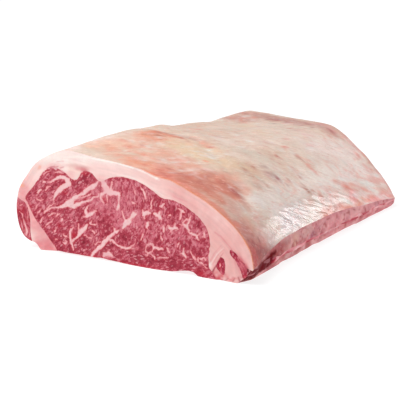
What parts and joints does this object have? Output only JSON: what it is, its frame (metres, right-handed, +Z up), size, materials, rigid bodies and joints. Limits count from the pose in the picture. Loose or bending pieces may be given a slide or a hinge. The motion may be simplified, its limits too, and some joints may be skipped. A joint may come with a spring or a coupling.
{
  "type": "raw beef striploin",
  "caption": "Boneless raw beef striploin, a long block of marbled lean under a domed fat cap, cut square at both ends.",
  "frame": {"origin": "middle of the underside, on the surface it lies on", "axes": "+Y along the loin from the rib-end cut face to the hip end, +X from the chine side to the thin tail side, +Z up through the fat cap"},
  "size_m": [0.2399, 0.329, 0.0965],
  "materials": {
    "fat": "waxy raw fat under a thin glossy membrane",
    "lean": "moist raw lean with fine pale marbling"
  },
  "bodies": {
    "root": {"fat_cap": "fat", "loin_eye": "lean", "chine_strip": "lean", "tail_strip_inner": "lean", "tail_strip_outer": "lean"}
  },
  "joints": []
}
